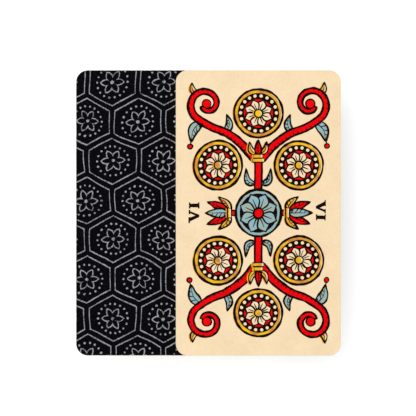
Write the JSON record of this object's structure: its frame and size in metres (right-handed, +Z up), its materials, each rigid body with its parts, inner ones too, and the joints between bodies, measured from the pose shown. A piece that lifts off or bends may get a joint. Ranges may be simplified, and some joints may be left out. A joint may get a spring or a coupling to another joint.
{
  "type": "tarot card deck",
  "caption": "Squared deck of tarot cards with its top two slid apart: one face down with a hexagon lattice back, one face up; the cards slide and the deck fans out.",
  "frame": {"origin": "centre of the deck's underside, where its lowest card lies on the table", "axes": "+X to the right, where the face-up card is slid out; +Y along the cards, to their top edge; +Z up"},
  "size_m": [0.1124, 0.1216, 0.028],
  "materials": {
    "card_back": "printed, silk varnish",
    "card_face": "printed, silk varnish",
    "card_edges": "cut board, matt"
  },
  "bodies": {
    "bottom_packet": {"bottom_packet": "card_edges"},
    "deck_card_20": {"deck_card_20": "card_back"},
    "deck_card_21": {"deck_card_21": "card_back"},
    "deck_card_22": {"deck_card_22": "card_back"},
    "deck_card_23": {"deck_card_23": "card_back"},
    "deck_card_24": {"deck_card_24": "card_back"},
    "deck_card_25": {"deck_card_25": "card_back"},
    "deck_card_26": {"deck_card_26": "card_back"},
    "deck_card_27": {"deck_card_27": "card_back"},
    "deck_card_28": {"deck_card_28": "card_back"},
    "deck_card_29": {"deck_card_29": "card_back"},
    "deck_card_30": {"deck_card_30": "card_back"},
    "deck_card_31": {"deck_card_31": "card_back"},
    "deck_card_32": {"deck_card_32": "card_back"},
    "deck_card_33": {"deck_card_33": "card_back"},
    "deck_card_34": {"deck_card_34": "card_back"},
    "deck_card_35": {"deck_card_35": "card_back"},
    "deck_card_36": {"deck_card_36": "card_back"},
    "deck_card_37": {"deck_card_37": "card_back"},
    "deck_card_38": {"deck_card_38": "card_back"},
    "deck_card_39": {"deck_card_39": "card_back"},
    "deck_card_40": {"deck_card_40": "card_back"},
    "deck_card_41": {"deck_card_41": "card_back"},
    "deck_card_42": {"deck_card_42": "card_back"},
    "deck_card_43": {"deck_card_43": "card_back"},
    "deck_card_44": {"deck_card_44": "card_back"},
    "deck_card_45": {"deck_card_45": "card_back"},
    "deck_card_46": {"deck_card_46": "card_back"},
    "deck_card_47": {"deck_card_47": "card_back"},
    "deck_card_48": {"deck_card_48": "card_back"},
    "deck_card_49": {"deck_card_49": "card_back"},
    "deck_card_50": {"deck_card_50": "card_back"},
    "deck_card_51": {"deck_card_51": "card_back"},
    "deck_card_52": {"deck_card_52": "card_back"},
    "deck_card_53": {"deck_card_53": "card_back"},
    "deck_card_54": {"deck_card_54": "card_back"},
    "deck_card_55": {"deck_card_55": "card_back"},
    "deck_card_56": {"deck_card_56": "card_back"},
    "deck_card_57": {"deck_card_57": "card_back"},
    "deck_card_58": {"deck_card_58": "card_back"},
    "deck_card_59": {"deck_card_59": "card_back"},
    "deck_card_60": {"deck_card_60": "card_back"},
    "deck_card_61": {"deck_card_61": "card_back"},
    "deck_card_62": {"deck_card_62": "card_back"},
    "deck_card_63": {"deck_card_63": "card_back"},
    "deck_card_64": {"deck_card_64": "card_back"},
    "deck_card_65": {"deck_card_65": "card_back"},
    "deck_card_66": {"deck_card_66": "card_back"},
    "deck_card_67": {"deck_card_67": "card_back"},
    "deck_card_68": {"deck_card_68": "card_back"},
    "deck_card_69": {"deck_card_69": "card_back"},
    "deck_card_70": {"deck_card_70": "card_back"},
    "deck_card_71": {"deck_card_71": "card_back"},
    "deck_card_72": {"deck_card_72": "card_back"},
    "deck_card_73": {"deck_card_73": "card_back"},
    "deck_card_74": {"deck_card_74": "card_back"},
    "deck_card_75": {"deck_card_75": "card_back"},
    "deck_card_76": {"deck_card_76": "card_back"},
    "face_down_card": {"face_down_card": "card_back"},
    "face_up_card": {"face_up_card": "card_face"}
  },
  "joints": [
    {"name": "deck_fan", "type": "hinge", "parent": "bottom_packet", "child": "deck_card_76", "pos_m": [0, -0.045, 0], "axis": [0, 0, -1], "range_deg": [0, 120]},
    {"name": "fan_20", "type": "hinge", "parent": "bottom_packet", "child": "deck_card_20", "pos_m": [0, -0.045, 0], "axis": [0, 0, -1], "range_deg": [0, 2.21]},
    {"name": "fan_21", "type": "hinge", "parent": "bottom_packet", "child": "deck_card_21", "pos_m": [0, -0.045, 0], "axis": [0, 0, -1], "range_deg": [0, 4.31]},
    {"name": "fan_22", "type": "hinge", "parent": "bottom_packet", "child": "deck_card_22", "pos_m": [0, -0.045, 0], "axis": [0, 0, -1], "range_deg": [0, 6.42]},
    {"name": "fan_23", "type": "hinge", "parent": "bottom_packet", "child": "deck_card_23", "pos_m": [0, -0.045, 0], "axis": [0, 0, -1], "range_deg": [0, 8.52]},
    {"name": "fan_24", "type": "hinge", "parent": "bottom_packet", "child": "deck_card_24", "pos_m": [0, -0.045, 0], "axis": [0, 0, -1], "range_deg": [0, 10.63]},
    {"name": "fan_25", "type": "hinge", "parent": "bottom_packet", "child": "deck_card_25", "pos_m": [0, -0.045, 0], "axis": [0, 0, -1], "range_deg": [0, 12.73]},
    {"name": "fan_26", "type": "hinge", "parent": "bottom_packet", "child": "deck_card_26", "pos_m": [0, -0.045, 0], "axis": [0, 0, -1], "range_deg": [0, 14.84]},
    {"name": "fan_27", "type": "hinge", "parent": "bottom_packet", "child": "deck_card_27", "pos_m": [0, -0.045, 0], "axis": [0, 0, -1], "range_deg": [0, 16.94]},
    {"name": "fan_28", "type": "hinge", "parent": "bottom_packet", "child": "deck_card_28", "pos_m": [0, -0.045, 0], "axis": [0, 0, -1], "range_deg": [0, 19.05]},
    {"name": "fan_29", "type": "hinge", "parent": "bottom_packet", "child": "deck_card_29", "pos_m": [0, -0.045, 0], "axis": [0, 0, -1], "range_deg": [0, 21.15]},
    {"name": "fan_30", "type": "hinge", "parent": "bottom_packet", "child": "deck_card_30", "pos_m": [0, -0.045, 0], "axis": [0, 0, -1], "range_deg": [0, 23.26]},
    {"name": "fan_31", "type": "hinge", "parent": "bottom_packet", "child": "deck_card_31", "pos_m": [0, -0.045, 0], "axis": [0, 0, -1], "range_deg": [0, 25.36]},
    {"name": "fan_32", "type": "hinge", "parent": "bottom_packet", "child": "deck_card_32", "pos_m": [0, -0.045, 0], "axis": [0, 0, -1], "range_deg": [0, 27.47]},
    {"name": "fan_33", "type": "hinge", "parent": "bottom_packet", "child": "deck_card_33", "pos_m": [0, -0.045, 0], "axis": [0, 0, -1], "range_deg": [0, 29.57]},
    {"name": "fan_34", "type": "hinge", "parent": "bottom_packet", "child": "deck_card_34", "pos_m": [0, -0.045, 0], "axis": [0, 0, -1], "range_deg": [0, 31.68]},
    {"name": "fan_35", "type": "hinge", "parent": "bottom_packet", "child": "deck_card_35", "pos_m": [0, -0.045, 0], "axis": [0, 0, -1], "range_deg": [0, 33.78]},
    {"name": "fan_36", "type": "hinge", "parent": "bottom_packet", "child": "deck_card_36", "pos_m": [0, -0.045, 0], "axis": [0, 0, -1], "range_deg": [0, 35.89]},
    {"name": "fan_37", "type": "hinge", "parent": "bottom_packet", "child": "deck_card_37", "pos_m": [0, -0.045, 0], "axis": [0, 0, -1], "range_deg": [0, 37.99]},
    {"name": "fan_38", "type": "hinge", "parent": "bottom_packet", "child": "deck_card_38", "pos_m": [0, -0.045, 0], "axis": [0, 0, -1], "range_deg": [0, 40.1]},
    {"name": "fan_39", "type": "hinge", "parent": "bottom_packet", "child": "deck_card_39", "pos_m": [0, -0.045, 0], "axis": [0, 0, -1], "range_deg": [0, 42.21]},
    {"name": "fan_40", "type": "hinge", "parent": "bottom_packet", "child": "deck_card_40", "pos_m": [0, -0.045, 0], "axis": [0, 0, -1], "range_deg": [0, 44.31]},
    {"name": "fan_41", "type": "hinge", "parent": "bottom_packet", "child": "deck_card_41", "pos_m": [0, -0.045, 0], "axis": [0, 0, -1], "range_deg": [0, 46.42]},
    {"name": "fan_42", "type": "hinge", "parent": "bottom_packet", "child": "deck_card_42", "pos_m": [0, -0.045, 0], "axis": [0, 0, -1], "range_deg": [0, 48.52]},
    {"name": "fan_43", "type": "hinge", "parent": "bottom_packet", "child": "deck_card_43", "pos_m": [0, -0.045, 0], "axis": [0, 0, -1], "range_deg": [0, 50.63]},
    {"name": "fan_44", "type": "hinge", "parent": "bottom_packet", "child": "deck_card_44", "pos_m": [0, -0.045, 0], "axis": [0, 0, -1], "range_deg": [0, 52.73]},
    {"name": "fan_45", "type": "hinge", "parent": "bottom_packet", "child": "deck_card_45", "pos_m": [0, -0.045, 0], "axis": [0, 0, -1], "range_deg": [0, 54.84]},
    {"name": "fan_46", "type": "hinge", "parent": "bottom_packet", "child": "deck_card_46", "pos_m": [0, -0.045, 0], "axis": [0, 0, -1], "range_deg": [0, 56.94]},
    {"name": "fan_47", "type": "hinge", "parent": "bottom_packet", "child": "deck_card_47", "pos_m": [0, -0.045, 0], "axis": [0, 0, -1], "range_deg": [0, 59.05]},
    {"name": "fan_48", "type": "hinge", "parent": "bottom_packet", "child": "deck_card_48", "pos_m": [0, -0.045, 0], "axis": [0, 0, -1], "range_deg": [0, 61.15]},
    {"name": "fan_49", "type": "hinge", "parent": "bottom_packet", "child": "deck_card_49", "pos_m": [0, -0.045, 0], "axis": [0, 0, -1], "range_deg": [0, 63.26]},
    {"name": "fan_50", "type": "hinge", "parent": "bottom_packet", "child": "deck_card_50", "pos_m": [0, -0.045, 0], "axis": [0, 0, -1], "range_deg": [0, 65.36]},
    {"name": "fan_51", "type": "hinge", "parent": "bottom_packet", "child": "deck_card_51", "pos_m": [0, -0.045, 0], "axis": [0, 0, -1], "range_deg": [0, 67.47]},
    {"name": "fan_52", "type": "hinge", "parent": "bottom_packet", "child": "deck_card_52", "pos_m": [0, -0.045, 0], "axis": [0, 0, -1], "range_deg": [0, 69.57]},
    {"name": "fan_53", "type": "hinge", "parent": "bottom_packet", "child": "deck_card_53", "pos_m": [0, -0.045, 0], "axis": [0, 0, -1], "range_deg": [0, 71.68]},
    {"name": "fan_54", "type": "hinge", "parent": "bottom_packet", "child": "deck_card_54", "pos_m": [0, -0.045, 0], "axis": [0, 0, -1], "range_deg": [0, 73.78]},
    {"name": "fan_55", "type": "hinge", "parent": "bottom_packet", "child": "deck_card_55", "pos_m": [0, -0.045, 0], "axis": [0, 0, -1], "range_deg": [0, 75.89]},
    {"name": "fan_56", "type": "hinge", "parent": "bottom_packet", "child": "deck_card_56", "pos_m": [0, -0.045, 0], "axis": [0, 0, -1], "range_deg": [0, 77.99]},
    {"name": "fan_57", "type": "hinge", "parent": "bottom_packet", "child": "deck_card_57", "pos_m": [0, -0.045, 0], "axis": [0, 0, -1], "range_deg": [0, 80.1]},
    {"name": "fan_58", "type": "hinge", "parent": "bottom_packet", "child": "deck_card_58", "pos_m": [0, -0.045, 0], "axis": [0, 0, -1], "range_deg": [0, 82.21]},
    {"name": "fan_59", "type": "hinge", "parent": "bottom_packet", "child": "deck_card_59", "pos_m": [0, -0.045, 0], "axis": [0, 0, -1], "range_deg": [0, 84.31]},
    {"name": "fan_60", "type": "hinge", "parent": "bottom_packet", "child": "deck_card_60", "pos_m": [0, -0.045, 0], "axis": [0, 0, -1], "range_deg": [0, 86.42]},
    {"name": "fan_61", "type": "hinge", "parent": "bottom_packet", "child": "deck_card_61", "pos_m": [0, -0.045, 0], "axis": [0, 0, -1], "range_deg": [0, 88.52]},
    {"name": "fan_62", "type": "hinge", "parent": "bottom_packet", "child": "deck_card_62", "pos_m": [0, -0.045, 0], "axis": [0, 0, -1], "range_deg": [0, 90.63]},
    {"name": "fan_63", "type": "hinge", "parent": "bottom_packet", "child": "deck_card_63", "pos_m": [0, -0.045, 0], "axis": [0, 0, -1], "range_deg": [0, 92.73]},
    {"name": "fan_64", "type": "hinge", "parent": "bottom_packet", "child": "deck_card_64", "pos_m": [0, -0.045, 0], "axis": [0, 0, -1], "range_deg": [0, 94.84]},
    {"name": "fan_65", "type": "hinge", "parent": "bottom_packet", "child": "deck_card_65", "pos_m": [0, -0.045, 0], "axis": [0, 0, -1], "range_deg": [0, 96.94]},
    {"name": "fan_66", "type": "hinge", "parent": "bottom_packet", "child": "deck_card_66", "pos_m": [0, -0.045, 0], "axis": [0, 0, -1], "range_deg": [0, 99.05]},
    {"name": "fan_67", "type": "hinge", "parent": "bottom_packet", "child": "deck_card_67", "pos_m": [0, -0.045, 0], "axis": [0, 0, -1], "range_deg": [0, 101.15]},
    {"name": "fan_68", "type": "hinge", "parent": "bottom_packet", "child": "deck_card_68", "pos_m": [0, -0.045, 0], "axis": [0, 0, -1], "range_deg": [0, 103.26]},
    {"name": "fan_69", "type": "hinge", "parent": "bottom_packet", "child": "deck_card_69", "pos_m": [0, -0.045, 0], "axis": [0, 0, -1], "range_deg": [0, 105.36]},
    {"name": "fan_70", "type": "hinge", "parent": "bottom_packet", "child": "deck_card_70", "pos_m": [0, -0.045, 0], "axis": [0, 0, -1], "range_deg": [0, 107.47]},
    {"name": "fan_71", "type": "hinge", "parent": "bottom_packet", "child": "deck_card_71", "pos_m": [0, -0.045, 0], "axis": [0, 0, -1], "range_deg": [0, 109.57]},
    {"name": "fan_72", "type": "hinge", "parent": "bottom_packet", "child": "deck_card_72", "pos_m": [0, -0.045, 0], "axis": [0, 0, -1], "range_deg": [0, 111.68]},
    {"name": "fan_73", "type": "hinge", "parent": "bottom_packet", "child": "deck_card_73", "pos_m": [0, -0.045, 0], "axis": [0, 0, -1], "range_deg": [0, 113.78]},
    {"name": "fan_74", "type": "hinge", "parent": "bottom_packet", "child": "deck_card_74", "pos_m": [0, -0.045, 0], "axis": [0, 0, -1], "range_deg": [0, 115.89]},
    {"name": "fan_75", "type": "hinge", "parent": "bottom_packet", "child": "deck_card_75", "pos_m": [0, -0.045, 0], "axis": [0, 0, -1], "range_deg": [0, 117.99]},
    {"name": "face_down_slide", "type": "slide", "parent": "deck_card_76", "child": "face_down_card", "axis": [1, 0, 0], "range_m": [-0.05, 0.02115]},
    {"name": "face_up_slide", "type": "slide", "parent": "deck_card_76", "child": "face_up_card", "axis": [1, 0, 0], "range_m": [-0.02115, 0.05]}
  ],
  "couplings": [
    {"joint": "fan_20", "follows": "deck_fan", "ratio": 0.017544},
    {"joint": "fan_21", "follows": "deck_fan", "ratio": 0.035088},
    {"joint": "fan_22", "follows": "deck_fan", "ratio": 0.052632},
    {"joint": "fan_23", "follows": "deck_fan", "ratio": 0.070175},
    {"joint": "fan_24", "follows": "deck_fan", "ratio": 0.087719},
    {"joint": "fan_25", "follows": "deck_fan", "ratio": 0.10526},
    {"joint": "fan_26", "follows": "deck_fan", "ratio": 0.12281},
    {"joint": "fan_27", "follows": "deck_fan", "ratio": 0.14035},
    {"joint": "fan_28", "follows": "deck_fan", "ratio": 0.1579},
    {"joint": "fan_29", "follows": "deck_fan", "ratio": 0.17544},
    {"joint": "fan_30", "follows": "deck_fan", "ratio": 0.19298},
    {"joint": "fan_31", "follows": "deck_fan", "ratio": 0.21053},
    {"joint": "fan_32", "follows": "deck_fan", "ratio": 0.22807},
    {"joint": "fan_33", "follows": "deck_fan", "ratio": 0.24561},
    {"joint": "fan_34", "follows": "deck_fan", "ratio": 0.26316},
    {"joint": "fan_35", "follows": "deck_fan", "ratio": 0.2807},
    {"joint": "fan_36", "follows": "deck_fan", "ratio": 0.29825},
    {"joint": "fan_37", "follows": "deck_fan", "ratio": 0.31579},
    {"joint": "fan_38", "follows": "deck_fan", "ratio": 0.33333},
    {"joint": "fan_39", "follows": "deck_fan", "ratio": 0.35088},
    {"joint": "fan_40", "follows": "deck_fan", "ratio": 0.36842},
    {"joint": "fan_41", "follows": "deck_fan", "ratio": 0.38597},
    {"joint": "fan_42", "follows": "deck_fan", "ratio": 0.40351},
    {"joint": "fan_43", "follows": "deck_fan", "ratio": 0.42105},
    {"joint": "fan_44", "follows": "deck_fan", "ratio": 0.4386},
    {"joint": "fan_45", "follows": "deck_fan", "ratio": 0.45614},
    {"joint": "fan_46", "follows": "deck_fan", "ratio": 0.47368},
    {"joint": "fan_47", "follows": "deck_fan", "ratio": 0.49123},
    {"joint": "fan_48", "follows": "deck_fan", "ratio": 0.50877},
    {"joint": "fan_49", "follows": "deck_fan", "ratio": 0.52632},
    {"joint": "fan_50", "follows": "deck_fan", "ratio": 0.54386},
    {"joint": "fan_51", "follows": "deck_fan", "ratio": 0.5614},
    {"joint": "fan_52", "follows": "deck_fan", "ratio": 0.57895},
    {"joint": "fan_53", "follows": "deck_fan", "ratio": 0.59649},
    {"joint": "fan_54", "follows": "deck_fan", "ratio": 0.61403},
    {"joint": "fan_55", "follows": "deck_fan", "ratio": 0.63158},
    {"joint": "fan_56", "follows": "deck_fan", "ratio": 0.64912},
    {"joint": "fan_57", "follows": "deck_fan", "ratio": 0.66667},
    {"joint": "fan_58", "follows": "deck_fan", "ratio": 0.68421},
    {"joint": "fan_59", "follows": "deck_fan", "ratio": 0.70175},
    {"joint": "fan_60", "follows": "deck_fan", "ratio": 0.7193},
    {"joint": "fan_61", "follows": "deck_fan", "ratio": 0.73684},
    {"joint": "fan_62", "follows": "deck_fan", "ratio": 0.75439},
    {"joint": "fan_63", "follows": "deck_fan", "ratio": 0.77193},
    {"joint": "fan_64", "follows": "deck_fan", "ratio": 0.78947},
    {"joint": "fan_65", "follows": "deck_fan", "ratio": 0.80702},
    {"joint": "fan_66", "follows": "deck_fan", "ratio": 0.82456},
    {"joint": "fan_67", "follows": "deck_fan", "ratio": 0.8421},
    {"joint": "fan_68", "follows": "deck_fan", "ratio": 0.85965},
    {"joint": "fan_69", "follows": "deck_fan", "ratio": 0.87719},
    {"joint": "fan_70", "follows": "deck_fan", "ratio": 0.89474},
    {"joint": "fan_71", "follows": "deck_fan", "ratio": 0.91228},
    {"joint": "fan_72", "follows": "deck_fan", "ratio": 0.92983},
    {"joint": "fan_73", "follows": "deck_fan", "ratio": 0.94737},
    {"joint": "fan_74", "follows": "deck_fan", "ratio": 0.96491},
    {"joint": "fan_75", "follows": "deck_fan", "ratio": 0.98246}
  ]
}
